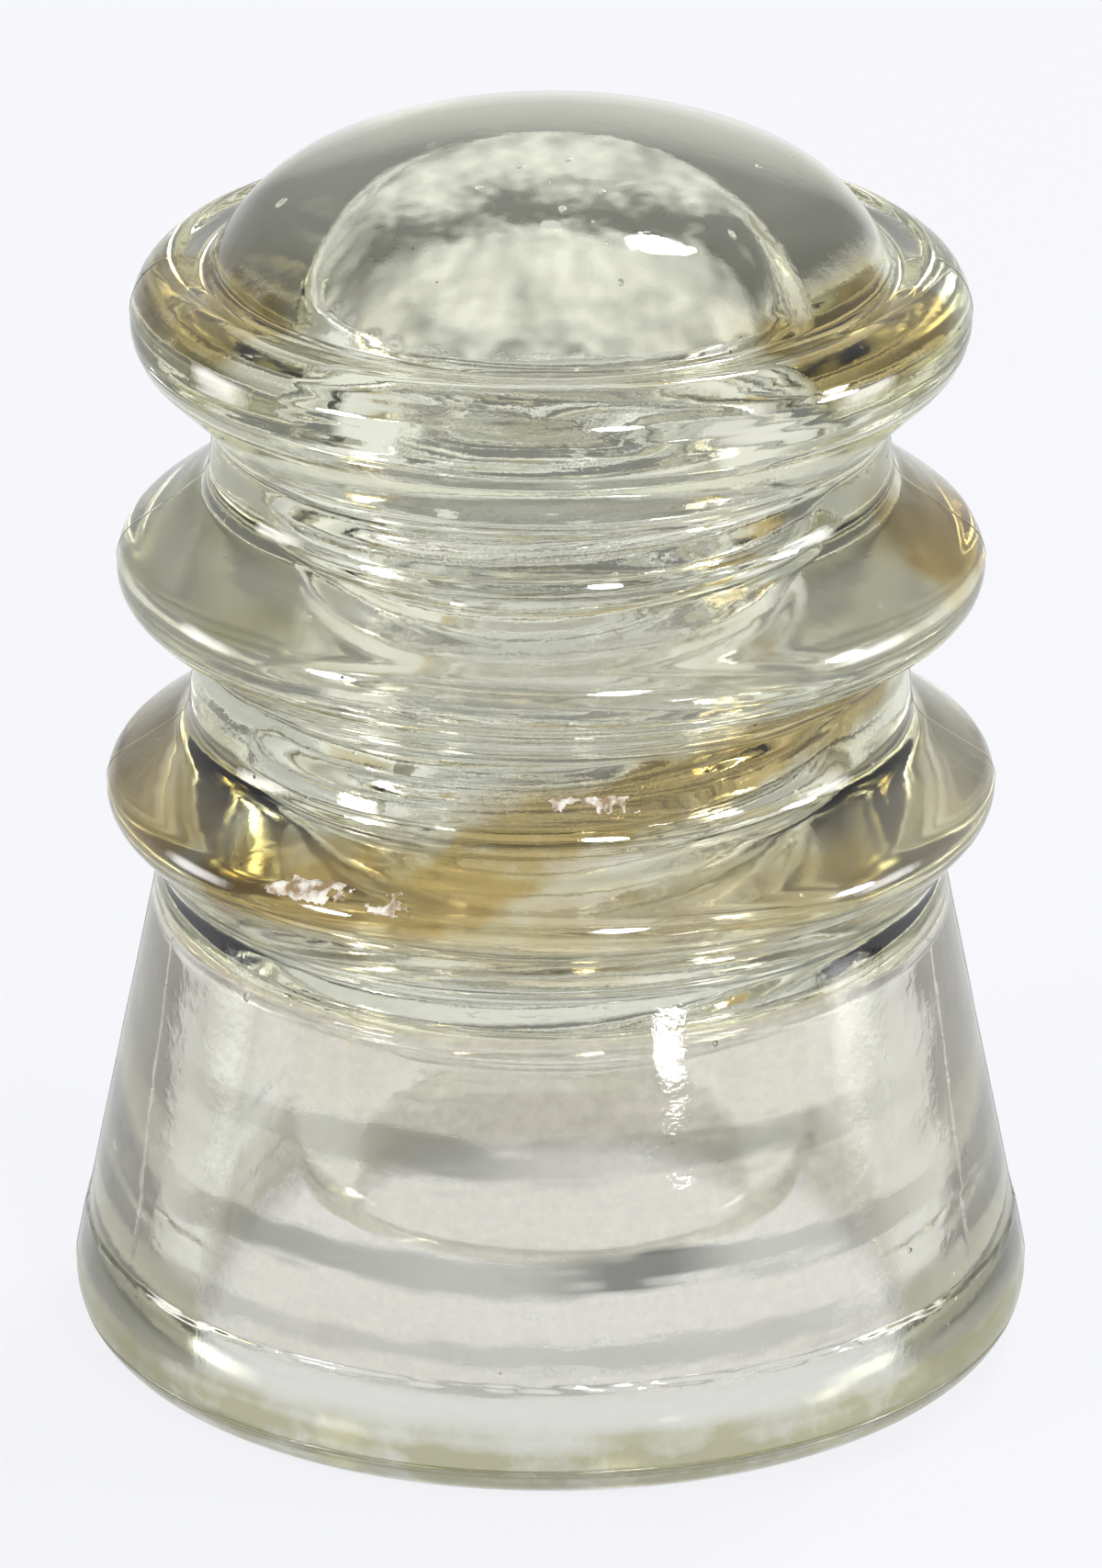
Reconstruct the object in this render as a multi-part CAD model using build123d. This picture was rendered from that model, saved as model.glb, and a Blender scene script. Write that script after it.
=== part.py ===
from build123d import *
import os
from math import atan, cos, degrees, radians, sin

# Pressed-glass pin insulator, one piece of glass.
# Frame: +Z up along the axis, origin at the centre of the base rim, millimetres.
# The glass is one section turned about the axis, with a tapered thread cut in its pin hole.

INCH = 25.4

# Overall
HEIGHT = 3.75 * INCH

# Crown: a wide dome arc that runs into a tighter shoulder arc
DOME_R = 45.2
SHOULDER_R = 12.85
SHOULDER_AXIS_R = 13.2
SHOULDER_FOOT_ANGLE = 28
VALLEY_DROP = 1.6
VALLEY_ROUND = 1.1

# Top ridge, above the upper wire groove
TOP_CREST = (28.0, 84.9)
TOP_CREST_ROUND = 2.0
TOP_NOSE = (34.0, 81.3)
TOP_NOSE_ROUND = 4.55

# Upper wire groove
UPPER_NECK_TOP = (24.95, 72.7)
UPPER_NECK_BOTTOM = (25.45, 68.0)
NECK_TOP_ROUND = 2.0
NECK_BOTTOM_ROUND = 3.0

# Middle ridge
MIDDLE_NOSE = (34.9, 60.9)
MIDDLE_NOSE_ROUND = 3.2

# Lower wire groove
LOWER_NECK_TOP = (26.35, 56.0)
LOWER_NECK_BOTTOM = (27.1, 49.0)

# Bottom ridge, above the skirt
BOTTOM_NOSE = (34.5, 44.05)
BOTTOM_NOSE_ROUND = 2.4

# Outer skirt
SKIRT_TOP = (29.35, 38.1)
SKIRT_TOP_ROUND = 1.5
SKIRT_FOOT = (36.25, 4.15)
SKIRT_FOOT_ROUND = 6.0
RIM_OUTER_R = 34.9
RIM_OUTER_ROUND = 3.9
RIM_INNER_R = 28.0
RIM_INNER_ROUND = 2.4

# Drip space between the outer skirt and the inner skirt
SPACE_TOP_Z = 33.0
SPACE_TOP_OUTER_R = 24.9
SPACE_TOP_INNER_R = 20.9
SPACE_TOP_ROUND = 2.0

# Inner skirt, around the mouth of the pin hole
INNER_RIM_Z = 12.0
INNER_RIM_OUTER_R = 20.0
INNER_RIM_ROUND = 1.6
MOUTH_ROUND = 0.8

# Pin hole: plain entry, then a 1 inch pin thread that tapers towards the ceiling
ENTRY_R = 15.6
ENTRY_TOP_Z = 27.0
CEILING_Z = 80.0
CEILING_ROUND = 2.0
CREST_TOP_R = 11.9
TAPER_PER_INCH = INCH / 16
THREADS_PER_INCH = 4
THREAD_DEPTH = 1.5
THREAD_FOOT_HALF = 2.5
THREAD_TIP_HALF = 0.9
THREAD_TIP_ROUND = 0.8
THREAD_OVERLAP = 0.6
THREAD_START_Z = 23.2
THREAD_END_Z = 77.2

PITCH = INCH / THREADS_PER_INCH
TAPER_SLOPE = TAPER_PER_INCH / 2 / INCH
TAPER_ANGLE = degrees(atan(TAPER_SLOPE))


def crest_radius(z):
    """Radius of the smooth cone that the thread crests lie on."""
    return CREST_TOP_R + (CEILING_Z - z) * TAPER_SLOPE


def shoulder_point(angle):
    """A point on the shoulder arc, at this angle above the arc's own centre."""
    across = SHOULDER_AXIS_R + SHOULDER_R * cos(radians(angle))
    return (across, SHOULDER_CENTRE_Z + SHOULDER_R * sin(radians(angle)))


# The two crown arcs share a tangent, so their centres are DOME_R - SHOULDER_R apart.
DOME_CENTRE_Z = HEIGHT - DOME_R
CENTRE_RISE = ((DOME_R - SHOULDER_R) ** 2 - SHOULDER_AXIS_R ** 2) ** 0.5
SHOULDER_CENTRE_Z = DOME_CENTRE_Z + CENTRE_RISE
TANGENT_ANGLE = degrees(atan(CENTRE_RISE / SHOULDER_AXIS_R))


def glass_section():
    """Half section of the glass, radius along X and height along Y."""
    foot = shoulder_point(SHOULDER_FOOT_ANGLE)
    lean = radians(SHOULDER_FOOT_ANGLE)
    valley = (foot[0] + VALLEY_DROP * sin(lean), foot[1] - VALLEY_DROP * cos(lean))
    entry_step_z = ENTRY_TOP_Z + ENTRY_R - crest_radius(ENTRY_TOP_Z)
    corners = [
        (valley, VALLEY_ROUND),
        (TOP_CREST, TOP_CREST_ROUND),
        (TOP_NOSE, TOP_NOSE_ROUND),
        (UPPER_NECK_TOP, NECK_TOP_ROUND),
        (UPPER_NECK_BOTTOM, NECK_BOTTOM_ROUND),
        (MIDDLE_NOSE, MIDDLE_NOSE_ROUND),
        (LOWER_NECK_TOP, NECK_TOP_ROUND),
        (LOWER_NECK_BOTTOM, NECK_BOTTOM_ROUND),
        (BOTTOM_NOSE, BOTTOM_NOSE_ROUND),
        (SKIRT_TOP, SKIRT_TOP_ROUND),
        (SKIRT_FOOT, SKIRT_FOOT_ROUND),
        ((RIM_OUTER_R, 0), RIM_OUTER_ROUND),
        ((RIM_INNER_R, 0), RIM_INNER_ROUND),
        ((SPACE_TOP_OUTER_R, SPACE_TOP_Z), SPACE_TOP_ROUND),
        ((SPACE_TOP_INNER_R, SPACE_TOP_Z), SPACE_TOP_ROUND),
        ((INNER_RIM_OUTER_R, INNER_RIM_Z), INNER_RIM_ROUND),
        ((ENTRY_R, INNER_RIM_Z), MOUTH_ROUND),
        ((ENTRY_R, ENTRY_TOP_Z), MOUTH_ROUND),
        ((crest_radius(entry_step_z), entry_step_z), MOUTH_ROUND),
        ((crest_radius(CEILING_Z), CEILING_Z), CEILING_ROUND),
    ]
    points = [foot] + [corner for corner, _ in corners] + [(0, CEILING_Z)]
    walls = FilletPolyline(*points, radius=[round_r for _, round_r in corners])
    dome = CenterArc((0, DOME_CENTRE_Z), DOME_R, TANGENT_ANGLE, 90 - TANGENT_ANGLE)
    shoulder_centre = (SHOULDER_AXIS_R, SHOULDER_CENTRE_Z)
    shoulder_sweep = TANGENT_ANGLE - SHOULDER_FOOT_ANGLE
    shoulder = CenterArc(shoulder_centre, SHOULDER_R, SHOULDER_FOOT_ANGLE, shoulder_sweep)
    centre_line = Line((0, CEILING_Z), (0, HEIGHT))
    return make_face(Wire([*walls.edges(), dome, shoulder, centre_line]))


def thread_groove():
    """The rounded groove that the pin's thread turns in, wider than the crest cone."""
    start_r = crest_radius(THREAD_START_Z)
    height = THREAD_END_Z - THREAD_START_Z
    path = Helix(PITCH, height, start_r, (0, 0, THREAD_START_Z), cone_angle=-TAPER_ANGLE)
    outline = FilletPolyline(
        (-THREAD_OVERLAP, -THREAD_FOOT_HALF),
        (0, -THREAD_FOOT_HALF),
        (THREAD_DEPTH, -THREAD_TIP_HALF),
        (THREAD_DEPTH, THREAD_TIP_HALF),
        (0, THREAD_FOOT_HALF),
        (-THREAD_OVERLAP, THREAD_FOOT_HALF),
        radius=[THREAD_TIP_ROUND] * 4,
    )
    back = Line((-THREAD_OVERLAP, THREAD_FOOT_HALF), (-THREAD_OVERLAP, -THREAD_FOOT_HALF))
    section = make_face(Wire([*outline.edges(), back]))
    at_start = Plane(origin=(start_r, 0, THREAD_START_Z), x_dir=(1, 0, 0), z_dir=(0, -1, 0))
    return sweep(at_start * section, path=path, is_frenet=True)


def glass_shell():
    """The whole insulator: the turned section, less the thread groove."""
    turned = revolve(Plane.XZ * glass_section(), Axis.Z)
    return turned - thread_groove()


os.makedirs("parts", exist_ok=True)
export_step(glass_shell(), "parts/glass_shell.step")
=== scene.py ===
"""Clear pressed-glass pin insulator: one turned skin of glass, its stain, crust, residue, painted shade
and set.
"""
import math
import random

import bmesh
import bpy
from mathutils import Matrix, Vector, noise


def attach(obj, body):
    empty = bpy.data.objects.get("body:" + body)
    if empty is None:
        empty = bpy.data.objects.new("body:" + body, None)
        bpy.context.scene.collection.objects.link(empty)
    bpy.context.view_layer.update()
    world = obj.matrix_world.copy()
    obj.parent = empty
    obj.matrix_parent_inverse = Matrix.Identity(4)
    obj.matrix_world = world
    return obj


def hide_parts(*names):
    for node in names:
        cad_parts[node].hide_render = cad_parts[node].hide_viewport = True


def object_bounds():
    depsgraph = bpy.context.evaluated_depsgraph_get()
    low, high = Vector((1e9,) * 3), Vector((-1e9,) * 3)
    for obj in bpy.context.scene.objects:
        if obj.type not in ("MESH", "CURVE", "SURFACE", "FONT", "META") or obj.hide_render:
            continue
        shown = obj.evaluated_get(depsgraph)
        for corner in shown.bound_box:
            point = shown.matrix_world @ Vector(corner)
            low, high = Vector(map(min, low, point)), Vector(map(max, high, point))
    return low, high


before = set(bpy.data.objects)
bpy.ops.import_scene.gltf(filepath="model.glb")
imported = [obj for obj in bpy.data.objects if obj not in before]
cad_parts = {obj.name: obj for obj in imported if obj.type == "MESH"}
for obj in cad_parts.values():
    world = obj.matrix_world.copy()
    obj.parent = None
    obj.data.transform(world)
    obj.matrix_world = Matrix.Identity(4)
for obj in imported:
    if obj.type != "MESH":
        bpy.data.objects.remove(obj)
cad_low, cad_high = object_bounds()

MM = 0.001
TURN = 2 * math.pi
FRONT = -math.pi / 2

# ---------------------------------------------------------------- the glass, millimetres
HEIGHT = cad_high.z / MM

# Crown: a wide dome arc that runs into a tighter shoulder arc, then a valley above the top ridge
DOME_R = 45.2
SHOULDER_R = 12.85
SHOULDER_AXIS_R = 13.2
SHOULDER_FOOT = math.radians(28)
VALLEY_DROP = 1.6
VALLEY_ROUND = 1.1

# Corners below the valley, each with the radius that rounds it
OUTER_CORNERS = [
    ((28.0, 84.9), 2.0),      # crest of the top ridge
    ((34.0, 81.3), 4.55),     # nose of the top ridge
    ((24.95, 72.7), 2.0),     # upper wire groove
    ((25.45, 68.0), 3.0),
    ((34.9, 60.9), 3.2),      # middle ridge
    ((26.35, 56.0), 2.0),     # lower wire groove
    ((27.1, 49.0), 3.0),
    ((34.5, 44.05), 2.4),     # bottom ridge
    ((29.35, 38.1), 1.5),     # outer skirt
    ((36.25, 4.15), 6.0),
    ((34.9, 0), 3.9),         # outer edge of the base rim
]
RIM_MIDDLE = (31.3, 0)

# Where the crown ends and where the skirt begins
CROWN_FOOT_Z = 86
SKIRT_TOP_Z = 38

# Skirts from below: the drip space between them, the inner rim and the plain entry of the pin hole
SPACE_TOP_Z = 33.0
INNER_RIM_Z = 12.0
ENTRY_R = 15.6
ENTRY_MIDDLE_Z = 23.0
ENTRY_TOP_Z = 27.0
MOUTH_ROUND = 0.8
SKIRT_CORNERS = [
    ((28.0, 0), 2.4),         # rim of the outer skirt
    ((24.9, SPACE_TOP_Z), 2.0),
    ((20.9, SPACE_TOP_Z), 2.0),
    ((20.0, INNER_RIM_Z), 1.6),
    ((ENTRY_R, INNER_RIM_Z), MOUTH_ROUND),
]

# Threaded pin hole
CEILING_Z = 80.0
CEILING_ROUND = 2.0
CEILING_FLAT_R = 9.0
CEILING_FAN_R = 0.6
CREST_TOP_R = 11.9
TAPER_SLOPE = 1 / 32
PITCH = 25.4 / 4
THREAD_DEPTH = 1.5
THREAD_FOOT_HALF = 2.5
THREAD_TIP_HALF = 0.9
THREAD_START_Z = 23.2
THREAD_END_Z = 77.2
THREAD_FADE = 1.0

# The mould parts just above the base, and along two seams at the sides
MOULD_LINE_Z = 9.3
BASE_RING_RAISE = 0.12
MOULD_BEAD = 0.16
MOULD_BEAD_HALF = 0.3
SEAM_RAISE = 0.05
SEAM_HALF = math.radians(0.45)

# Seams and stain stay outside the first radius, and dulled glass outside the second
CROWN_CLEAR_R = 20
HAZE_CLEAR_R = 24

# Unevenness of the pressed glass: half height and fineness of each wave
OUTER_WAVES = [(0.10, 0.045), (0.035, 0.16), (0.012, 0.42)]
DOME_WAVE = (0.10, 0.05)
INNER_WAVE = (0.06, 0.12)

# How closely the section is divided, and how many columns go round the axis
ARC_STEP = math.radians(5)
DOME_STEP = math.radians(1.2)
SHOULDER_STEP = math.radians(3)
LINE_STEP = 0.9
THREAD_STEP = 0.3
COLUMNS = 300

# Rust stain: runs of (degrees right of the front, height), each with a half width and a strength
STAIN_RUNS = [
    ([(66, 56.5), (30, 53.8), (0, 50.0)], 3.3, 1.0),
    ([(0, 50.0), (-10, 47.8), (-20, 45.8), (-46, 44.4)], 3.6, 1.0),
    ([(-34, 45.0), (10, 44.8), (44, 45.4)], 3.4, 0.65),
    ([(-104, 46.5), (-60, 46.2)], 4.6, 0.75),
    ([(20, 46.8), (96, 46.6)], 4.6, 0.4),
    ([(72, 65.8), (96, 62.5)], 4.6, 1.0),
    ([(42, 84.0), (72, 84.6)], 3.2, 1.0),
    ([(-88, 84.6), (-54, 84.4)], 2.8, 0.9),
    ([(150, 46.5), (190, 52.0)], 4.5, 0.7),
]

# No stain spreads this far up or down from the ends of its run
STAIN_REACH = 14

# Dulled glass: height, half height and amount. The last band is the base's, with level streaks in it.
HAZE_BANDS = [
    (45.4, 3.9, 1.0),
    (63.6, 4.2, 0.9),
    (82.0, 3.0, 0.12),
    (24.0, 16.0, 0.14),
    (3.0, 5.0, 1.4),
]
BASE_BAND_TOP_Z = 8

# Films lie this far inside the face of the glass, so that they show at every angle
FILM_DEPTH = 0.05

# Fine level lines that the mould and the plunger left, as half heights of their waves
NECK_RIPPLE = 0.022
HOLE_RIPPLE = 0.05

# The outside has them above the first height, and stronger above the second. It is divided this
# closely there.
RIPPLE_FOOT_Z = 40
RIPPLE_STRONG_Z = 76
RIPPLE_STEP = 0.36

# The ceiling's residue reaches this far out at the front and back, further at the sides, and a
# little way down the wall. The last value is how far apart its rows are.
RESIDUE_R = 10.6
RESIDUE_SIDE_REACH = 1.6
RESIDUE_DROP = 1.7
RESIDUE_ROW = 0.4

# White middle of that residue: its centre, half width and half depth
CLOUD_CENTRE = (0.3, -7.0)
CLOUD_HALF = (12.5, 9.2)

# Rings of painted shade on the outer skirt's inner wall, dark bands in place of the shade seen through the
# glass: height, half height and amount. Then the film's rows.
PAINTED_SHADE_RINGS = [(23.4, 1.7, 0.8), (14.6, 1.5, 1.1), (8.3, 1.2, 0.75), (5.9, 0.3, 0.9)]
SKIRT_FILM_ROW = 0.35

# Air seeds: lowest and highest place, inner and outer radius, and how many
BUBBLE_ROOMS = [
    (82.5, 89, 0, 18, 14),
    (58, 72, 17, 23, 16),
    (44, 55, 18, 25, 12),
    (6, 34, 29.5, 31, 10),
]

# Those in the skirt lean with its wall: outwards for each millimetre below its middle
SKIRT_LEAN = 0.17
SKIRT_MIDDLE_Z = 20

# Crust flakes: how closely they are divided, and how thick they can be. Then how many specks.
FLAKE_STEP = 0.14
FLAKE_THICK = 0.2
SPECK_COUNT = 90


def crest_radius(z):
    """Radius of the smooth cone that the thread crests lie on."""
    return CREST_TOP_R + (CEILING_Z - z) * TAPER_SLOPE


def smooth(x):
    """0 to 1 with flat ends."""
    x = min(max(x, 0.0), 1.0)
    return x * x * (3 - 2 * x)


def polar(angle, r, z):
    """A point from its angle round the axis, radius and height."""
    return Vector((r * math.cos(angle), r * math.sin(angle), z))


def from_front(angle):
    """Degrees to the right of the front, -180 to 180."""
    return math.degrees((angle - FRONT + math.pi) % TURN - math.pi)


def line_points(a, b, step):
    """Points from a towards b, without a."""
    count = max(1, math.ceil(math.dist(a, b) / step))
    across, down = b[0] - a[0], b[1] - a[1]
    return [(a[0] + across * k / count, a[1] + down * k / count) for k in range(1, count + 1)]


def arc_points(centre, radius, start, end, step=ARC_STEP):
    """Points along an arc from its start angle to its end angle, without the first."""
    count = max(2, math.ceil(abs(end - start) / step))
    angles = [start + (end - start) * k / count for k in range(1, count + 1)]
    return [(centre[0] + radius * math.cos(t), centre[1] + radius * math.sin(t)) for t in angles]


def rounded(corners, last, step):
    """A run of straight walls with rounded corners. The first corner is the start, already placed."""
    made = [corners[0][0]]
    ends = [c for c, _ in corners[2:]] + [last]
    for (here, _), (corner, radius), after in zip(corners, corners[1:], ends):
        to_here = (Vector(here) - Vector(corner)).normalized()
        to_after = (Vector(after) - Vector(corner)).normalized()
        half = to_here.angle(to_after) / 2
        reach = radius / math.tan(half)
        begin = Vector(corner) + to_here * reach
        finish = Vector(corner) + to_after * reach
        centre = Vector(corner) + (to_here + to_after).normalized() * radius / math.sin(half)
        made += line_points(made[-1], tuple(begin), step)
        start = math.atan2(begin.y - centre.y, begin.x - centre.x)
        end = math.atan2(finish.y - centre.y, finish.x - centre.x)
        turn = (end - start + math.pi) % TURN - math.pi
        made += arc_points(tuple(centre), radius, start, start + turn)
    return made + line_points(made[-1], last, step)


def crown_points():
    """The dome and its shoulder, from near the top down to the shoulder's foot."""
    dome_z = HEIGHT - DOME_R
    rise = math.sqrt((DOME_R - SHOULDER_R) ** 2 - SHOULDER_AXIS_R ** 2)
    tangent = math.atan2(rise, SHOULDER_AXIS_R)
    dome = arc_points((0, dome_z), DOME_R, math.pi / 2, tangent, DOME_STEP)
    centre = (SHOULDER_AXIS_R, dome_z + rise)
    return dome + arc_points(centre, SHOULDER_R, tangent, SHOULDER_FOOT, SHOULDER_STEP)


def finer_near(points, z, reach, step):
    """The same run of points, divided more closely near one height and where the level lines are."""
    made = points[:1]
    for here, after in zip(points, points[1:]):
        near = min(abs(here[1] - z), abs(after[1] - z)) < reach
        elsewhere = RIPPLE_STEP if after[1] > RIPPLE_FOOT_Z else LINE_STEP * 2
        made += line_points(here, after, step if near else elsewhere)
    return made


def outer_points():
    """The outside of the glass, from the crown to the middle of the base rim."""
    crown = crown_points()
    foot = crown[-1]
    valley_r = foot[0] + VALLEY_DROP * math.sin(SHOULDER_FOOT)
    valley_z = foot[1] - VALLEY_DROP * math.cos(SHOULDER_FOOT)
    corners = [(foot, 0), ((valley_r, valley_z), VALLEY_ROUND)] + OUTER_CORNERS
    walls = rounded(corners, RIM_MIDDLE, LINE_STEP)
    return crown[:-1] + finer_near(walls, MOULD_LINE_Z, LINE_STEP, MOULD_BEAD_HALF / 3)


def skirt_points():
    """The inside of the skirts, from the middle of the base rim to the plain part of the pin hole."""
    return rounded([(RIM_MIDDLE, 0)] + SKIRT_CORNERS, (ENTRY_R, ENTRY_MIDDLE_Z), LINE_STEP)


def hole_points():
    """The threaded pin hole, from the plain part to the middle of the ceiling."""
    step_z = ENTRY_TOP_Z + ENTRY_R - crest_radius(ENTRY_TOP_Z)
    hole = [
        ((ENTRY_R, ENTRY_MIDDLE_Z), 0),
        ((ENTRY_R, ENTRY_TOP_Z), MOUTH_ROUND),
        ((crest_radius(step_z), step_z), MOUTH_ROUND),
        ((crest_radius(CEILING_Z), CEILING_Z), CEILING_ROUND),
    ]
    made = rounded(hole, (CEILING_FLAT_R, CEILING_Z), THREAD_STEP)
    return made + line_points((CEILING_FLAT_R, CEILING_Z), (CEILING_FAN_R, CEILING_Z), LINE_STEP)


def thread_cut(angle, z):
    """Depth of the rounded groove at this angle and height, nothing beyond its ends."""
    climb = z - THREAD_START_Z - PITCH * angle / TURN
    off = (climb + PITCH / 2) % PITCH - PITCH / 2
    turn_z = z - off
    if turn_z < THREAD_START_Z - 0.01:
        return 0.0
    depth = smooth((THREAD_FOOT_HALF - abs(off)) / (THREAD_FOOT_HALF - THREAD_TIP_HALF))
    depth *= smooth((THREAD_END_Z + THREAD_FADE - turn_z) / (2 * THREAD_FADE))
    return THREAD_DEPTH * depth


def level_lines(angle, z, fineness):
    """Noise drawn out into nearly level lines, about -1 to 1."""
    around = polar(angle, 1.1, 0)
    wide = noise.noise(Vector((around.x, around.y, z * fineness)))
    return wide + 0.5 * noise.noise(Vector((around.x * 2, around.y * 2, z * fineness * 2.1 + 9)))


def outer_offset(angle, r, z):
    """Pressed-glass unevenness, the base ring and the bead above it, and the two mould seams."""
    place = polar(angle, r, z)
    off = sum(height * noise.noise(place * fineness) for height, fineness in OUTER_WAVES)
    crumble = 0.6 + 1.2 * noise.noise(place * 0.7)
    off += BASE_RING_RAISE * smooth((MOULD_LINE_Z - z) / MOULD_BEAD_HALF) * smooth(z / 4)
    off += MOULD_BEAD * crumble * smooth(1 - abs(z - MOULD_LINE_Z) / MOULD_BEAD_HALF)
    rippled = smooth((z - RIPPLE_FOOT_Z) / 4) * (1 + 1.5 * smooth((z - RIPPLE_STRONG_Z) / 3))
    off += NECK_RIPPLE * rippled * level_lines(angle, z, 1.0)
    if z < CROWN_FOOT_Z and r > CROWN_CLEAR_R:
        from_seam = abs((angle + math.pi / 2) % math.pi - math.pi / 2)
        off += SEAM_RAISE * smooth(1 - from_seam / SEAM_HALF)
    return off


def outer_place(angle, r, z):
    """A point on the finished outside of the glass, uneven upwards on the crown and outwards below it."""
    if z > CROWN_FOOT_Z:
        height, fineness = DOME_WAVE
        lift = height * smooth(r / 6) * noise.noise(polar(angle, r, z) * fineness)
        return polar(angle, r, min(z + lift, HEIGHT))
    return polar(angle, r + smooth((z - 1) / 2) * outer_offset(angle, r, z), z)


def inner_place(angle, r, z):
    """A point on the finished inside of the glass, without the thread."""
    if r <= 1:
        return polar(angle, r, z)
    height, fineness = INNER_WAVE
    return polar(angle, r + height * noise.noise(polar(angle, r, z) * fineness), z)


def hole_place(angle, r, z):
    """A point on the threaded pin hole."""
    cut = thread_cut(angle, z) * smooth((r - 8) / 4)
    ripple = HOLE_RIPPLE * smooth((r - 9) / 3) * level_lines(angle, z, 0.9)
    return inner_place(angle, max(r, min(r, crest_radius(z)) + cut) + ripple, z)


def run_distance(around, r, z, points):
    """Distance over the surface from a run of (degrees right of the front, height) points."""
    reach = math.radians(1) * r
    least = math.inf
    for (a0, z0), (a1, z1) in zip(points, points[1:]):
        if min(abs(z - z0), abs(z - z1)) > STAIN_REACH:
            continue
        along_x, along_z = (a1 - a0) * reach, z1 - z0
        across_x, across_z = ((around - a0 + 180) % 360 - 180) * reach, z - z0
        share = (across_x * along_x + across_z * along_z) / (along_x ** 2 + along_z ** 2)
        share = min(max(share, 0.0), 1.0)
        least = min(least, math.hypot(across_x - along_x * share, across_z - along_z * share))
    return least


def stain_at(angle, r, z):
    """How much rust stain there is at a point of the outside, 0 to 1."""
    if r < CROWN_CLEAR_R or z < SKIRT_TOP_Z:
        return 0.0
    around = from_front(angle)
    place = polar(angle, r, z)
    blur = 1.5 + 0.6 * noise.noise(place * 0.12) + 0.4 * noise.noise(place * 0.45)
    most = 0.0
    for points, half_width, strength in STAIN_RUNS:
        near = 1 - run_distance(around, r, z, points) / (half_width * blur)
        most = max(most, strength * smooth(near * 1.3))
    return most


def haze_at(angle, r, z):
    """How dull the outside is at a point. 1 and more is as dull as it gets."""
    if r < HAZE_CLEAR_R:
        return 0.0
    place = polar(angle, r, z)
    patchy = 0.75 + 0.5 * noise.noise(place * 0.08)
    if z <= BASE_BAND_TOP_Z:
        patchy = 0.85 + 0.2 * abs(math.cos(angle)) + 0.3 * level_lines(angle, z, 0.9)
    elif z < SKIRT_TOP_Z:
        sides = smooth((abs(math.cos(angle)) - 0.45) / 0.4)
        drawn = noise.noise(Vector((place.x * 0.3, place.y * 0.3, z * 0.05)))
        patchy *= 0.5 + 2.2 * sides + 1.6 * sides * drawn
    bands = [amount * smooth(1.4 - 1.4 * abs(z - mid) / half) for mid, half, amount in HAZE_BANDS]
    return patchy * sum(bands)


def column_angles():
    """Evenly spaced angles, with fine ones added at the two mould seams."""
    angles = {TURN * k / COLUMNS for k in range(COLUMNS)}
    for seam in (0.0, math.pi):
        angles.update((seam + k * SEAM_HALF / 3) % TURN for k in range(-4, 5))
    return sorted(angles)


def ring_faces(rings, count):
    """Quads between one ring of points and the next, round the axis."""
    faces = []
    for ring in range(rings - 1):
        a = ring * count
        b = a + count
        for k in range(count):
            j = (k + 1) % count
            faces.append((a + k, b + k, b + j, a + j))
    return faces


def new_mesh(name, places, faces):
    """A smooth mesh from points in millimetres."""
    mesh = bpy.data.meshes.new(name)
    mesh.from_pydata([p * MM for p in places], [], faces)
    mesh.validate()
    mesh.polygons.foreach_set("use_smooth", [True] * len(mesh.polygons))
    return mesh


def set_values(mesh, name, values):
    """Keeps one number for each point of a mesh, for its material to read."""
    mesh.attributes.new(name, "FLOAT", "POINT").data.foreach_set("value", values)


def bubble_shape():
    """Points and faces of a ball of radius 1, faced inwards."""
    made = bmesh.new()
    bmesh.ops.create_icosphere(made, subdivisions=2, radius=1)
    points = [v.co.copy() for v in made.verts]
    faces = [tuple(v.index for v in reversed(f.verts)) for f in made.faces]
    made.free()
    return points, faces


def add_bubbles(places, faces):
    """Small seeds of air in the thick glass, as closed hollows inside the skin."""
    rng = random.Random(5)
    ball, ball_faces = bubble_shape()
    for low, high, inner, outer, count in BUBBLE_ROOMS:
        for _ in range(count):
            radius = rng.uniform(0.10, 0.30)
            z = rng.uniform(low, high)
            lean = SKIRT_LEAN * (SKIRT_MIDDLE_Z - z) if high < SKIRT_TOP_Z else 0
            centre = polar(rng.uniform(0, TURN), rng.uniform(inner, outer) + lean, z)
            size = Vector((radius, radius, radius * rng.uniform(0.8, 1.5)))
            first = len(places)
            places += [centre + Vector(p * q for p, q in zip(point, size)) for point in ball]
            faces += [tuple(first + v for v in face) for face in ball_faces]


def glass_mesh():
    """One closed skin: rings of points round the axis, with a fan at the crown and at the ceiling."""
    angles = column_angles()
    count = len(angles)
    outside = outer_points()
    skirt = skirt_points()[1:]
    hole = hole_points()[1:]
    places = [Vector((0, 0, HEIGHT))]
    places += [outer_place(a, r, z) for r, z in outside for a in angles]
    places += [inner_place(a, r, z) for r, z in skirt for a in angles]
    places += [hole_place(a, r, z) for r, z in hole for a in angles]
    places.append(Vector((0, 0, CEILING_Z)))
    ceiling = len(places) - 1
    rings = len(outside) + len(skirt) + len(hole)
    last = 1 + (rings - 1) * count
    faces = [tuple(1 + v for v in face) for face in ring_faces(rings, count)]
    for k in range(count):
        j = (k + 1) % count
        faces.append((0, 1 + k, 1 + j))
        faces.append((last + k, ceiling, last + j))
    add_bubbles(places, faces)
    mesh = new_mesh("glass", places, faces)
    clean = [0.0] * (len(places) - 1 - len(outside) * count)
    for name, amount_at in (("stain", stain_at), ("haze", haze_at)):
        set_values(mesh, name, [0.0] + [amount_at(a, r, z) for r, z in outside for a in angles] + clean)
    return mesh


# ---------------------------------------------------------------- films and crust
def face_way(points, k):
    """The direction square to a run of points at one of them, as (outwards, upwards)."""
    before = points[max(k - 1, 0)]
    after = points[min(k + 1, len(points) - 1)]
    return Vector((before[1] - after[1], after[0] - before[0])).normalized()


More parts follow.
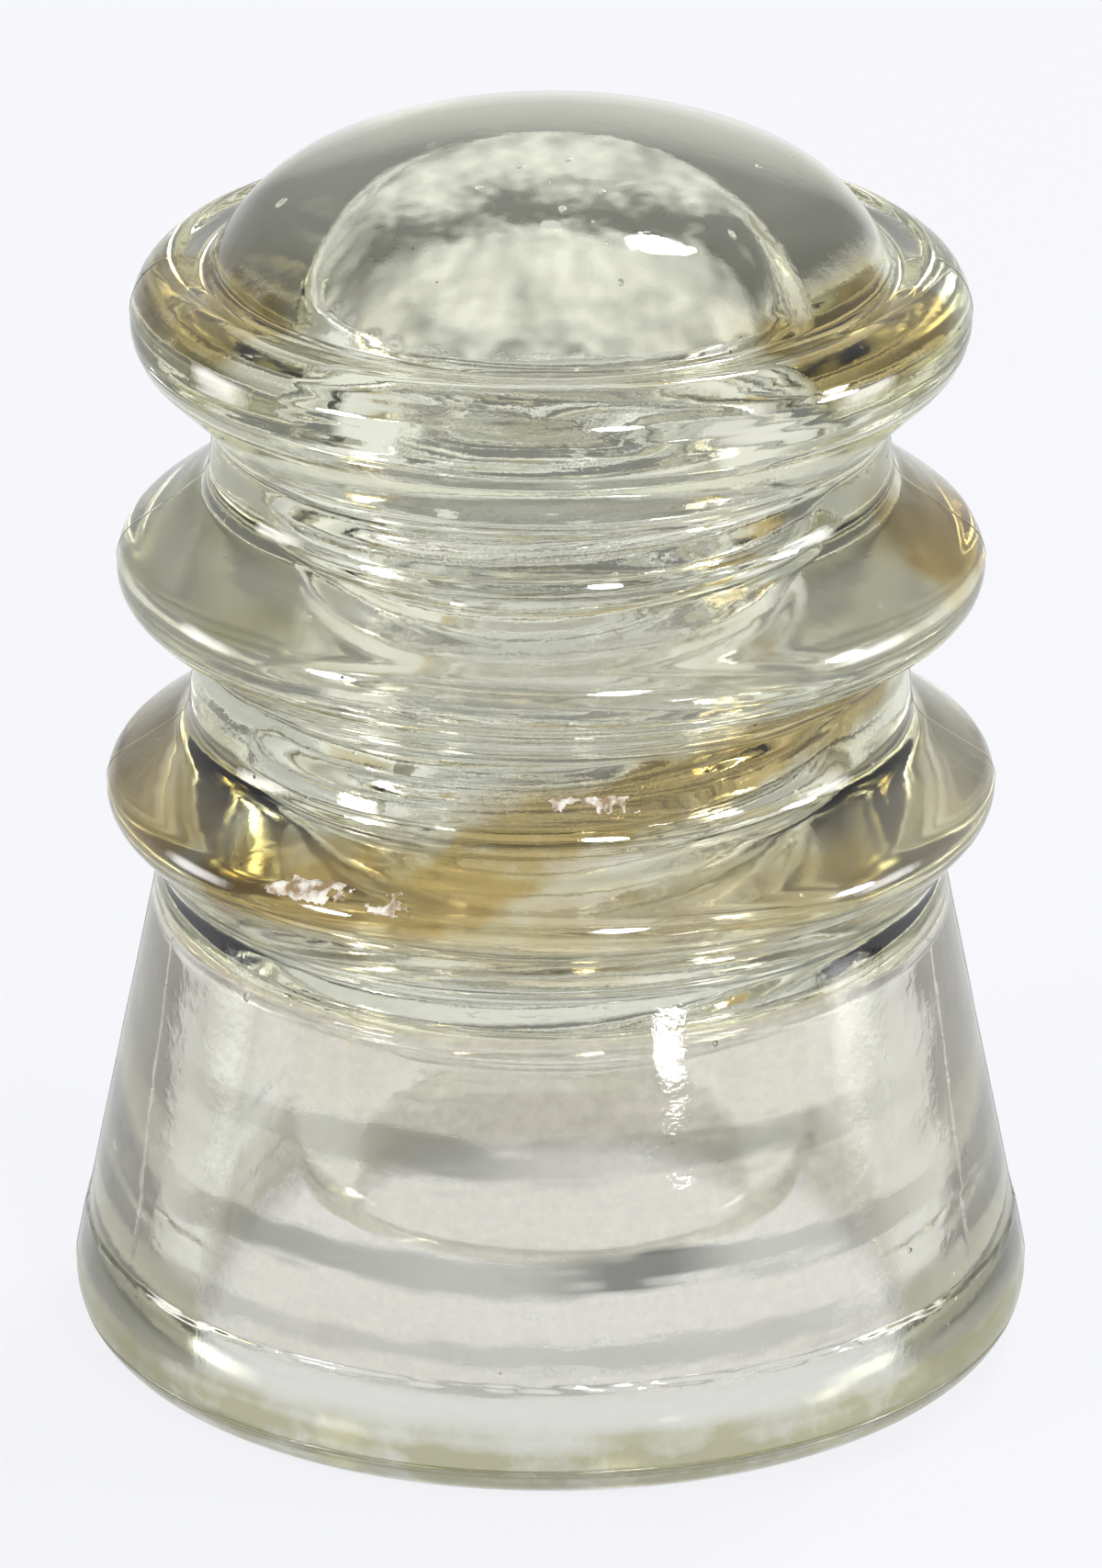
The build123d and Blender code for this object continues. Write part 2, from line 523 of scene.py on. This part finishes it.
def film_mesh(name, points, place_on):
    """A skin that clings to the inside of the glass, over a run of its section."""
    angles = [TURN * k / COLUMNS for k in range(COLUMNS)]
    places = []
    for k, (r, z) in enumerate(points):
        way = face_way(points, k) * -FILM_DEPTH
        for a in angles:
            on = place_on(a, r, z)
            places.append(on + polar(a, way.x, way.y))
    return new_mesh(name, places, ring_faces(len(points), COLUMNS)), angles


def streaks(angle, r, z, fine):
    """Noise drawn out around the axis, about -1 to 1."""
    place = polar(angle, r * 0.05 * fine, z * 0.8 * fine)
    return noise.noise(place) + 0.5 * noise.noise(place * 2.3)


def painted_shade_at(angle, r, z):
    """How much painted shade there is on the outer skirt's inner wall, 0 to 1: dark rings, strongest
    towards the front.
    """
    wander = 0.6 * noise.noise(polar(angle, 1.6, 3))
    facing = 0.3 + 0.7 * smooth((80 - abs(from_front(angle))) / 45)
    total = 0.0
    for k, (mid, half, amount) in enumerate(PAINTED_SHADE_RINGS):
        shade = facing * (0.7 + 0.45 * noise.noise(polar(angle, 1.9, 7 * k)))
        ragged = 0.6 * streaks(angle, r, z, 1.0) + 0.5 * noise.noise(polar(angle, r * 0.3, z * 1.4))
        off = abs(z - mid - wander) / half + ragged
        total += amount * shade * smooth(1.3 * (1.3 - off))
    return min(max(total, 0.0), 1.0)


def dust_at(angle, r, z):
    """How much pale dust there is on the outer skirt's inner wall, 0 to 1."""
    cover = 0.85 + 0.25 * noise.noise(polar(angle, r * 0.06, z * 0.06))
    cover += 0.12 * streaks(angle, r, z, 0.8)
    reach = abs(from_front(angle)) + 14 * noise.noise(polar(angle, 2, z * 0.12))
    away = 0.35 + 0.65 * smooth((62 - reach) / 16)
    return away * smooth((z - 4.5) / 2) * min(max(cover, 0), 1)


def fine_rows(points, step):
    """The same run of points, no further apart than this."""
    made = points[:1]
    for here, after in zip(points, points[1:]):
        made += line_points(here, after, step)
    return made


def skirt_film():
    """Dust, and rings of painted shade, on the inner wall of the outer skirt."""
    wall = [p for p in skirt_points() if p[0] > 24 and p[1] > 1.5]
    rows = fine_rows(wall, SKIRT_FILM_ROW)
    mesh, angles = film_mesh("skirt_dust_and_shade", rows, inner_place)
    set_values(mesh, "painted_shade", [painted_shade_at(a, r, z) for r, z in rows for a in angles])
    set_values(mesh, "dust", [dust_at(a, r, z) for r, z in rows for a in angles])
    return mesh


def cloud_at(angle, r, z):
    """How white the ceiling's residue is, 0 to 1: pale, with a dark crescent behind and a darker rim."""
    place = polar(angle, r, z)
    warp = 0.24 * noise.noise(place * 0.16) + 0.16 * noise.noise(place * 0.5)
    warp += 0.12 * noise.noise(place * 1.3)
    across = (place.x - CLOUD_CENTRE[0]) / CLOUD_HALF[0]
    deep = (place.y - CLOUD_CENTRE[1]) / CLOUD_HALF[1]
    reach = math.hypot(across, deep) + warp
    crescent = smooth(1 - abs(reach - 1.0) / 0.38) * smooth((place.y + 5) / 5)
    rim = smooth((r - 8.8) / 1.4) * (0.4 + 0.8 * noise.noise(place * 0.6))
    blots = 0.3 * noise.noise(place * 0.33 + Vector((4, 0, 0))) + 0.25 * noise.noise(place * 0.9)
    return min(max(0.85 - 0.9 * crescent - 0.5 * rim + blots, 0.0), 1.0)


def residue_at(angle, r, z):
    """How well the ceiling's residue covers the glass, 1 inside its ragged edge and 0 outside."""
    edge = RESIDUE_R + RESIDUE_SIDE_REACH * abs(math.cos(angle))
    edge += 0.5 * noise.noise(polar(angle, r, z) * 0.9)
    return smooth((edge - r + max(z - CEILING_Z + 1, -1) * 0.4) / 0.7)


def ceiling_film():
    """Cloudy residue on the ceiling of the pin hole."""
    top = [p for p in hole_points() if p[1] > CEILING_Z - RESIDUE_DROP]
    rows = fine_rows(top, RESIDUE_ROW)
    mesh, angles = film_mesh("ceiling_residue", rows, hole_place)
    set_values(mesh, "cloud", [cloud_at(a, r, z) for r, z in rows for a in angles])
    set_values(mesh, "cover", [residue_at(a, r, z) for r, z in rows for a in angles])
    return mesh


def crust_mesh(name, start, end, first, last, seed):
    """Flakes of dried crust on the outside, between two points of its section and two angles."""
    outside = outer_points()
    upper, lower = (min(range(len(outside)), key=lambda k: math.dist(outside[k], p)) for p in (start, end))
    rows = fine_rows(outside[upper:lower + 1], FLAKE_STEP)
    middle_r = rows[len(rows) // 2][0]
    count = round(math.radians(last - first) * middle_r / FLAKE_STEP)
    angles = [FRONT + math.radians(first + (last - first) * k / count) for k in range(count + 1)]
    places = []
    heights = []
    for k, (r, z) in enumerate(rows):
        way = face_way(rows, k)
        down = k / (len(rows) - 1)
        for m, a in enumerate(angles):
            on = outer_place(a, r, z)
            along = m / count
            edge = smooth(4 * min(down, 1 - down)) * smooth(5 * min(along, 1 - along))
            patch = noise.noise(on * 0.30 + Vector((seed, 0, 0))) + 0.6 * noise.noise(on * 1.1)
            patch += 0.35 * noise.noise(on * 2.6)
            height = edge * 0.9 + patch - 0.95
            heights.append(height)
            lift = 0.03 + min(max(height, 0) * 0.5, FLAKE_THICK) + 0.05 * abs(noise.noise(on * 3.5))
            places.append(on + polar(a, way.x, way.y) * lift)
    faces = []
    width = len(angles)
    for row in range(len(rows) - 1):
        for m in range(width - 1):
            here = row * width + m
            below = here + width
            corners = (here, below, below + 1, here + 1)
            if min(heights[c] for c in corners) > 0:
                faces.append(corners)
    mesh = new_mesh(name, places, faces)
    made = bmesh.new()
    made.from_mesh(mesh)
    bmesh.ops.delete(made, geom=[v for v in made.verts if not v.link_faces], context="VERTS")
    made.to_mesh(mesh)
    made.free()
    return mesh


def speck_mesh():
    """Small low blots of dirt scattered over the outside."""
    rng = random.Random(11)
    outside = [p for p in outer_points() if 3 < p[1] < 92 and p[0] > 8]
    places = []
    faces = []
    for _ in range(SPECK_COUNT):
        r, z = rng.choice(outside)
        angle = rng.uniform(0, TURN)
        size = rng.uniform(0.06, 0.22)
        centre = outer_place(angle, r, z)
        across = Vector((-math.sin(angle), math.cos(angle), 0))
        lower = outer_place(angle, *outside[min(outside.index((r, z)) + 1, len(outside) - 1)])
        down = (lower - centre).normalized()
        out = across.cross(down).normalized()
        out = out if out.dot(polar(angle, 1, 0.2)) > 0 else -out
        begin = len(places)
        places.append(centre + out * size * 0.35)
        corners = rng.randint(6, 9)
        for k in range(corners):
            turn = TURN * k / corners
            reach = size * rng.uniform(0.6, 1.3)
            places.append(centre + (across * math.cos(turn) + down * math.sin(turn)) * reach + out * 0.015)
            faces.append((begin, begin + 1 + k, begin + 1 + (k + 1) % corners))
    return new_mesh("specks", places, faces)


# ---------------------------------------------------------------- materials, colours linear
GLASS_IOR = 1.52
DEPTH_TINT = (0.84, 0.845, 0.62, 1)
DEPTH_DENSITY = 19.0
CLEAR = (0.975, 0.98, 0.97)
OLIVE_HAZE = (0.33, 0.32, 0.18)
THIN_STAIN = (0.64, 0.54, 0.25)
THICK_STAIN = (0.40, 0.25, 0.06)
PALE_DUST = (0.97, 0.90, 0.85)
# Dark colour of the painted shade rings on the skirt's inner wall
PAINTED_SHADE_COLOUR = (0.11, 0.115, 0.105)
THIN_RESIDUE = (0.13, 0.135, 0.115)
WHITE_RESIDUE = (0.93, 0.94, 0.91)
BROWN_CRUST = (0.22, 0.15, 0.08)
CHALKY_CRUST = (0.60, 0.57, 0.51)
DARK_SPECK = (0.05, 0.038, 0.025)
GREY_SPECK = (0.45, 0.38, 0.28)


def new_material(name):
    """A material with its nodes, links and main shader."""
    made = bpy.data.materials.new(name)
    made.use_nodes = True
    nodes = made.node_tree.nodes
    return made, nodes, made.node_tree.links, nodes["Principled BSDF"]


def add_noise(nodes, links, where, scale, detail, rough=0.55):
    """Noise over the object, as a socket."""
    node = nodes.new("ShaderNodeTexNoise")
    node.inputs["Scale"].default_value = scale
    node.inputs["Detail"].default_value = detail
    node.inputs["Roughness"].default_value = rough
    links.new(where, node.inputs["Vector"])
    return node.outputs["Fac"]


def remap(nodes, links, value, low, high, to_low=0.0, to_high=1.0):
    """A value from one range turned into another, and held at its ends."""
    node = nodes.new("ShaderNodeMapRange")
    node.inputs["From Min"].default_value = low
    node.inputs["From Max"].default_value = high
    node.inputs["To Min"].default_value = to_low
    node.inputs["To Max"].default_value = to_high
    links.new(value, node.inputs["Value"])
    return node.outputs["Result"]


def product(nodes, links, a, b):
    """Two values multiplied."""
    node = nodes.new("ShaderNodeMath")
    node.operation = "MULTIPLY"
    links.new(a, node.inputs[0])
    links.new(b, node.inputs[1])
    return node.outputs[0]


def blend(nodes, links, share, a, b):
    """A colour between a and b. Either may be a colour or a socket."""
    node = nodes.new("ShaderNodeMix")
    node.data_type = "RGBA"
    links.new(share, node.inputs["Factor"])
    for name, colour in (("A", a), ("B", b)):
        socket = [s for s in node.inputs if s.name == name and s.type == "RGBA"][0]
        if isinstance(colour, tuple):
            socket.default_value = (*colour, 1)
        else:
            links.new(colour, socket)
    return [s for s in node.outputs if s.type == "RGBA"][0]


def add_bump(nodes, links, value, strength, distance, shader):
    """Fine relief on a shader, its distance in metres."""
    node = nodes.new("ShaderNodeBump")
    node.inputs["Strength"].default_value = strength
    node.inputs["Distance"].default_value = distance
    links.new(value, node.inputs["Height"])
    links.new(node.outputs["Normal"], shader.inputs["Normal"])


def stored(nodes, name):
    """A number that the mesh keeps for each of its points."""
    node = nodes.new("ShaderNodeAttribute")
    node.attribute_name = name
    return node.outputs["Fac"]


def glass_material():
    """Clear glass with a straw tint in its depth, dulled olive and rust-stained in places."""
    made, nodes, links, shader = new_material("glass")
    where = nodes.new("ShaderNodeTexCoord").outputs["Object"]
    mottle = remap(nodes, links, add_noise(nodes, links, where, 260, 5, 0.65), 0.30, 0.60, 0.7, 1.0)
    stain = product(nodes, links, stored(nodes, "stain"), mottle)
    cloud = remap(nodes, links, add_noise(nodes, links, where, 150, 6, 0.62), 0.32, 0.65, 0.5, 1.0)
    haze = product(nodes, links, stored(nodes, "haze"), cloud)
    dulled = blend(nodes, links, haze, CLEAR, OLIVE_HAZE)
    amber = blend(nodes, links, remap(nodes, links, stain, 0.3, 0.9), THIN_STAIN, THICK_STAIN)
    colour = blend(nodes, links, remap(nodes, links, stain, 0.0, 0.8), dulled, amber)
    links.new(colour, shader.inputs["Base Color"])
    links.new(remap(nodes, links, haze, 0.0, 1.0, 0.0, 0.17), shader.inputs["Roughness"])
    links.new(remap(nodes, links, haze, 0.0, 1.0, 1.0, 0.72), shader.inputs["Transmission Weight"])
    add_bump(nodes, links, add_noise(nodes, links, where, 420, 5, 0.6), 0.4, 0.00006, shader)
    shader.inputs["IOR"].default_value = GLASS_IOR
    depth = nodes.new("ShaderNodeVolumeAbsorption")
    depth.inputs["Color"].default_value = DEPTH_TINT
    depth.inputs["Density"].default_value = DEPTH_DENSITY
    links.new(depth.outputs["Volume"], nodes["Material Output"].inputs["Volume"])
    return made


def skirt_film_material():
    """Pale dust with darker rings of painted shade, both thin enough to see through."""
    made, nodes, links, shader = new_material("skirt_dust_and_shade")
    where = nodes.new("ShaderNodeTexCoord").outputs["Object"]
    fine = remap(nodes, links, add_noise(nodes, links, where, 500, 6, 0.65), 0.3, 0.65, 0.65, 1.0)
    # Painted shade: dark rings that stand in for the shade seen through the skirt
    painted_shade = stored(nodes, "painted_shade")
    links.new(blend(nodes, links, painted_shade, PALE_DUST, PAINTED_SHADE_COLOUR), shader.inputs["Base Color"])
    dust = product(nodes, links, remap(nodes, links, stored(nodes, "dust"), 0, 1, 0, 0.55), fine)
    both = nodes.new("ShaderNodeMath")
    both.operation = "MAXIMUM"
    links.new(dust, both.inputs[0])
    links.new(remap(nodes, links, painted_shade, 0, 1, 0, 0.8), both.inputs[1])
    links.new(both.outputs[0], shader.inputs["Alpha"])
    shader.inputs["Roughness"].default_value = 0.9
    shader.inputs["Specular IOR Level"].default_value = 0.1
    return made


def ceiling_film_material():
    """White clouds of dried residue over a darker, thinner coat."""
    made, nodes, links, shader = new_material("ceiling_residue")
    where = nodes.new("ShaderNodeTexCoord").outputs["Object"]
    fine = add_noise(nodes, links, where, 380, 6, 0.7)
    clouds = product(nodes, links, stored(nodes, "cloud"), remap(nodes, links, fine, 0.25, 0.5, 0.75, 1.0))
    links.new(blend(nodes, links, clouds, THIN_RESIDUE, WHITE_RESIDUE), shader.inputs["Base Color"])
    dense = remap(nodes, links, clouds, 0, 1, 0.7, 0.95)
    links.new(product(nodes, links, dense, stored(nodes, "cover")), shader.inputs["Alpha"])
    shader.inputs["Roughness"].default_value = 0.85
    shader.inputs["Specular IOR Level"].default_value = 0.1
    return made


def crust_material():
    """Chalky flakes, brown where they are thin."""
    made, nodes, links, shader = new_material("crust")
    where = nodes.new("ShaderNodeTexCoord").outputs["Object"]
    patches = remap(nodes, links, add_noise(nodes, links, where, 700, 5), 0.42, 0.58)
    links.new(blend(nodes, links, patches, BROWN_CRUST, CHALKY_CRUST), shader.inputs["Base Color"])
    grain = add_noise(nodes, links, where, 3000, 4)
    links.new(remap(nodes, links, grain, 0.3, 0.7, 0.7, 0.95), shader.inputs["Roughness"])
    add_bump(nodes, links, grain, 0.6, 0.00008, shader)
    return made


def speck_material():
    """Dark brown and grey dirt."""
    made, nodes, links, shader = new_material("specks")
    where = nodes.new("ShaderNodeTexCoord").outputs["Object"]
    patches = remap(nodes, links, add_noise(nodes, links, where, 90, 2), 0.45, 0.55)
    links.new(blend(nodes, links, patches, DARK_SPECK, GREY_SPECK), shader.inputs["Base Color"])
    grain = add_noise(nodes, links, where, 2500, 3)
    links.new(remap(nodes, links, grain, 0.3, 0.7, 0.5, 0.9), shader.inputs["Roughness"])
    return made


# ---------------------------------------------------------------- pieces
# Crust: name, two points of the section, first and last degree right of the front, and its seed
CRUSTS = [
    ("crust_on_groove", (26.7, 53.0), (27.0, 50.6), -4, 19, 3),
    ("crust_on_ridge", (31.0, 46.4), (33.6, 44.6), -42, -10, 8),
]


def add_piece(name, mesh, material):
    """A visible piece of the insulator."""
    made = bpy.data.objects.new(name, mesh)
    mesh.materials.append(material)
    bpy.context.scene.collection.objects.link(made)
    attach(made, "root")
    return made


glass = add_piece("glass_body", glass_mesh(), glass_material())
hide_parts("glass_shell")
# The skirt's film: pale dust, with rings of painted shade
add_piece("skirt_dust_and_shade", skirt_film(), skirt_film_material())
add_piece("ceiling_residue", ceiling_film(), ceiling_film_material())
chalk = crust_material()
for crust in CRUSTS:
    add_piece(crust[0], crust_mesh(*crust), chalk)
add_piece("specks", speck_mesh(), speck_material())


# ---------------------------------------------------------------- the set, metres
FLOOR_Z = -0.0002
TABLE_Z = -0.0004
DISC_R = 8.0
DISC_SIDES = 64

# A softbox's light fades over this share of its cloth, at each edge
SOFTBOX_EDGE = 0.28

# Name, degrees round from behind, degrees up, distance, width, height and strength
SOFTBOXES = [
    ("softbox_left", -81, 2, 1.2, 0.55, 0.50, 11),
    ("softbox_right", 88, 2, 1.2, 0.60, 0.50, 11),
]

# The same for the lamps, with the power in watts last
LAMPS = [
    ("lamp_top", 33, 61.5, 1.4, 0.30, 0.13, 13),
    ("lamp_key", 162, 28, 1.2, 0.27, 0.27, 10),
    ("lamp_side", 239, 20, 1.2, 0.25, 0.25, 8),
    ("lamp_right", 98, 13, 1.2, 0.25, 0.25, 8),
    ("lamp_low", 147, -0.6, 1.2, 0.16, 0.04, 0.8),
]

# Camera: focal length and sensor in millimetres, its place, and how far it looks down in degrees
CAMERA_LENS = 249.6
CAMERA_SENSOR = 36.0
CAMERA_PLACE = (0, -0.7572, 0.3467)
CAMERA_DOWN = 21.86


def distance_from(nodes, links, where, centre, squeeze):
    """Distance in metres from a point of the floor, with each axis squeezed first."""
    move = nodes.new("ShaderNodeVectorMath")
    move.operation = "SUBTRACT"
    links.new(where, move.inputs[0])
    move.inputs[1].default_value = centre
    scale = nodes.new("ShaderNodeVectorMath")
    scale.operation = "MULTIPLY"
    links.new(move.outputs[0], scale.inputs[0])
    scale.inputs[1].default_value = squeeze
    length = nodes.new("ShaderNodeVectorMath")
    length.operation = "LENGTH"
    links.new(scale.outputs[0], length.inputs[0])
    return length.outputs["Value"]


def plain_floor_material():
    """A pale floor that gives its own even light."""
    made, nodes, links, shader = new_material("floor")
    shader.inputs["Base Color"].default_value = (0.05, 0.05, 0.052, 1)
    shader.inputs["Roughness"].default_value = 0.9
    shader.inputs["Specular IOR Level"].default_value = 0.0
    shader.inputs["Emission Color"].default_value = (0.84, 0.845, 0.87, 1)
    shader.inputs["Emission Strength"].default_value = 1.0
    return made


def table_material():
    """The table that shows through the glass, with painted shade: darker under the whole foot, a painted
    contact shadow in a ring at the rim, and a painted soft shadow behind.
    """
    made, nodes, links, shader = new_material("table")
    where = nodes.new("ShaderNodeTexCoord").outputs["Object"]
    rim = distance_from(nodes, links, where, (0, 0, 0), (1, 1, 0))
    # Each remap is between two distances in metres, and gives the light at either end
    # Painted shade: darker under the whole foot, with a painted contact shadow in a ring at the rim
    under = remap(nodes, links, rim, 0.035, 0.050, 0.82, 1.0)
    contact_shadow = remap(nodes, links, rim, 0.0265, 0.0295, 1.0, 0.45)
    clear_of_rim = remap(nodes, links, rim, 0.0335, 0.0365, 0.0, 0.55)
    ring = nodes.new("ShaderNodeMath")
    ring.operation = "ADD"
    ring.use_clamp = True
    links.new(contact_shadow, ring.inputs[0])
    links.new(clear_of_rim, ring.inputs[1])
    # A painted soft shadow of the object, behind it and reaching further to the right
    behind = distance_from(nodes, links, where, (0.05, 0.260, 0), (0.75, 1, 0))
    shade = remap(nodes, links, behind, 0.165, 0.205, 0.10, 1.0)
    light = product(nodes, links, product(nodes, links, under, ring.outputs[0]), shade)
    shader.inputs["Base Color"].default_value = (0.05, 0.05, 0.05, 1)
    shader.inputs["Roughness"].default_value = 0.9
    shader.inputs["Specular IOR Level"].default_value = 0.0
    colour = blend(nodes, links, light, (0.0, 0.0, 0.0), (0.88, 0.885, 0.90))
    links.new(colour, shader.inputs["Emission Color"])
    shader.inputs["Emission Strength"].default_value = 1.0
    return made


def add_disc(name, material, z):
    """A wide round table top, just clear of the glass."""
    mesh = bpy.data.meshes.new(name)
    turns = [TURN * k / DISC_SIDES for k in range(DISC_SIDES)]
    ring = [(DISC_R * math.cos(turn), DISC_R * math.sin(turn), z) for turn in turns]
    mesh.from_pydata(ring, [], [tuple(range(DISC_SIDES))])
    made = bpy.data.objects.new(name, mesh)
    mesh.materials.append(material)
    made.visible_glossy = False
    bpy.context.scene.collection.objects.link(made)
    return made


def add_floor():
    """The plain floor that is looked at, and the table below it, with painted shadows, that is seen only
    through the glass.
    """
    floor = add_disc("floor", plain_floor_material(), FLOOR_Z)
    floor.visible_transmission = False
    floor.visible_diffuse = False
    floor.visible_shadow = False
    table = add_disc("table", table_material(), TABLE_Z)
    table.visible_camera = False


def toward(azimuth, elevation):
    """A direction from the object. Azimuth 0 is behind it (+Y), 90 is on its right (+X)."""
    a, e = math.radians(azimuth), math.radians(elevation)
    return Vector((math.sin(a) * math.cos(e), math.cos(a) * math.cos(e), math.sin(e)))


def place_facing(made, way, distance):
    """Puts a light this far from the middle of the object, facing it and hidden from the camera."""
    made.location = Vector((0, 0, HEIGHT * MM / 2)) + way * distance
    made.rotation_mode = "QUATERNION"
    made.rotation_quaternion = (-way).to_track_quat("-Z", "Y")
    made.visible_camera = False
    bpy.context.scene.collection.objects.link(made)


def add_lamp(name, azimuth, elevation, distance, width, height, power):
    """A small oval lamp aimed at the object."""
    data = bpy.data.lights.new(name, "AREA")
    data.shape = "ELLIPSE"
    data.size = width
    data.size_y = height
    data.energy = power
    place_facing(bpy.data.objects.new(name, data), toward(azimuth, elevation), distance)


def softbox_material(strength):
    """Light that fades out towards the edges of the cloth."""
    made = bpy.data.materials.new("softbox")
    made.use_nodes = True
    nodes, links = made.node_tree.nodes, made.node_tree.links
    nodes.clear()
    split = nodes.new("ShaderNodeSeparateXYZ")
    links.new(nodes.new("ShaderNodeTexCoord").outputs["Generated"], split.inputs[0])
    sides = []
    for axis in ("X", "Y"):
        fold = nodes.new("ShaderNodeMath")
        fold.operation = "PINGPONG"
        fold.inputs[1].default_value = 0.5
        links.new(split.outputs[axis], fold.inputs[0])
        sides.append(remap(nodes, links, fold.outputs[0], 0.0, SOFTBOX_EDGE))
    window = remap(nodes, links, product(nodes, links, *sides), 0.0, 1.0, 0.0, strength)
    glow = nodes.new("ShaderNodeEmission")
    links.new(window, glow.inputs["Strength"])
    links.new(glow.outputs[0], nodes.new("ShaderNodeOutputMaterial").inputs["Surface"])
    return made


def add_softbox(name, azimuth, elevation, distance, width, height, strength):
    """A cloth-fronted light with soft edges, seen only in the glass."""
    mesh = bpy.data.meshes.new(name)
    w, h = width / 2, height / 2
    mesh.from_pydata([(-w, -h, 0), (w, -h, 0), (w, h, 0), (-w, h, 0)], [], [(0, 1, 2, 3)])
    mesh.materials.append(softbox_material(strength))
    made = bpy.data.objects.new(name, mesh)
    place_facing(made, toward(azimuth, elevation), distance)


def nearness(nodes, links, where, way):
    """Cosine of the angle between the world's direction and this one."""
    node = nodes.new("ShaderNodeVectorMath")
    node.operation = "DOT_PRODUCT"
    links.new(where, node.inputs[0])
    node.inputs[1].default_value = way
    return node.outputs["Value"]


def add_world():
    """A grey studio: bright above and behind the object, dark behind the camera, pale below."""
    world = bpy.data.worlds.new("studio")
    bpy.context.scene.world = world
    world.use_nodes = True
    nodes, links = world.node_tree.nodes, world.node_tree.links
    where = nodes.new("ShaderNodeTexCoord").outputs["Generated"]
    split = nodes.new("ShaderNodeSeparateXYZ")
    links.new(where, split.inputs[0])
    # Each remap is between two cosines, from the edge of a patch of the room to its full strength
    glow = remap(nodes, links, nearness(nodes, links, where, toward(0, 52)), 0.70, 0.95)
    dim = remap(nodes, links, nearness(nodes, links, where, toward(180, 10)), 0.75, 0.92)
    table = remap(nodes, links, split.outputs["Z"], 0.10, -0.10)
    room = blend(nodes, links, dim, (0.54, 0.545, 0.56), (0.12, 0.12, 0.125))
    sky = blend(nodes, links, glow, room, (0.98, 0.98, 1.0))
    colour = blend(nodes, links, table, sky, (0.80, 0.81, 0.835))
    links.new(colour, nodes["Background"].inputs["Color"])


def add_camera():
    """The camera, in front of the object and looking down at it."""
    data = bpy.data.cameras.new("camera")
    data.lens = CAMERA_LENS
    data.sensor_width = CAMERA_SENSOR
    data.clip_start = 0.01
    data.clip_end = 50.0
    made = bpy.data.objects.new("camera", data)
    made.location = CAMERA_PLACE
    made.rotation_euler = (math.radians(90 - CAMERA_DOWN), 0, 0)
    bpy.context.scene.collection.objects.link(made)
    bpy.context.scene.camera = made


add_floor()
add_world()
for softbox in SOFTBOXES:
    add_softbox(*softbox)
for lamp in LAMPS:
    add_lamp(*lamp)
add_camera()

scene = bpy.context.scene
scene.view_settings.view_transform = "Standard"
scene.cycles.max_bounces = 32
scene.cycles.transmission_bounces = 32
scene.cycles.transparent_max_bounces = 16
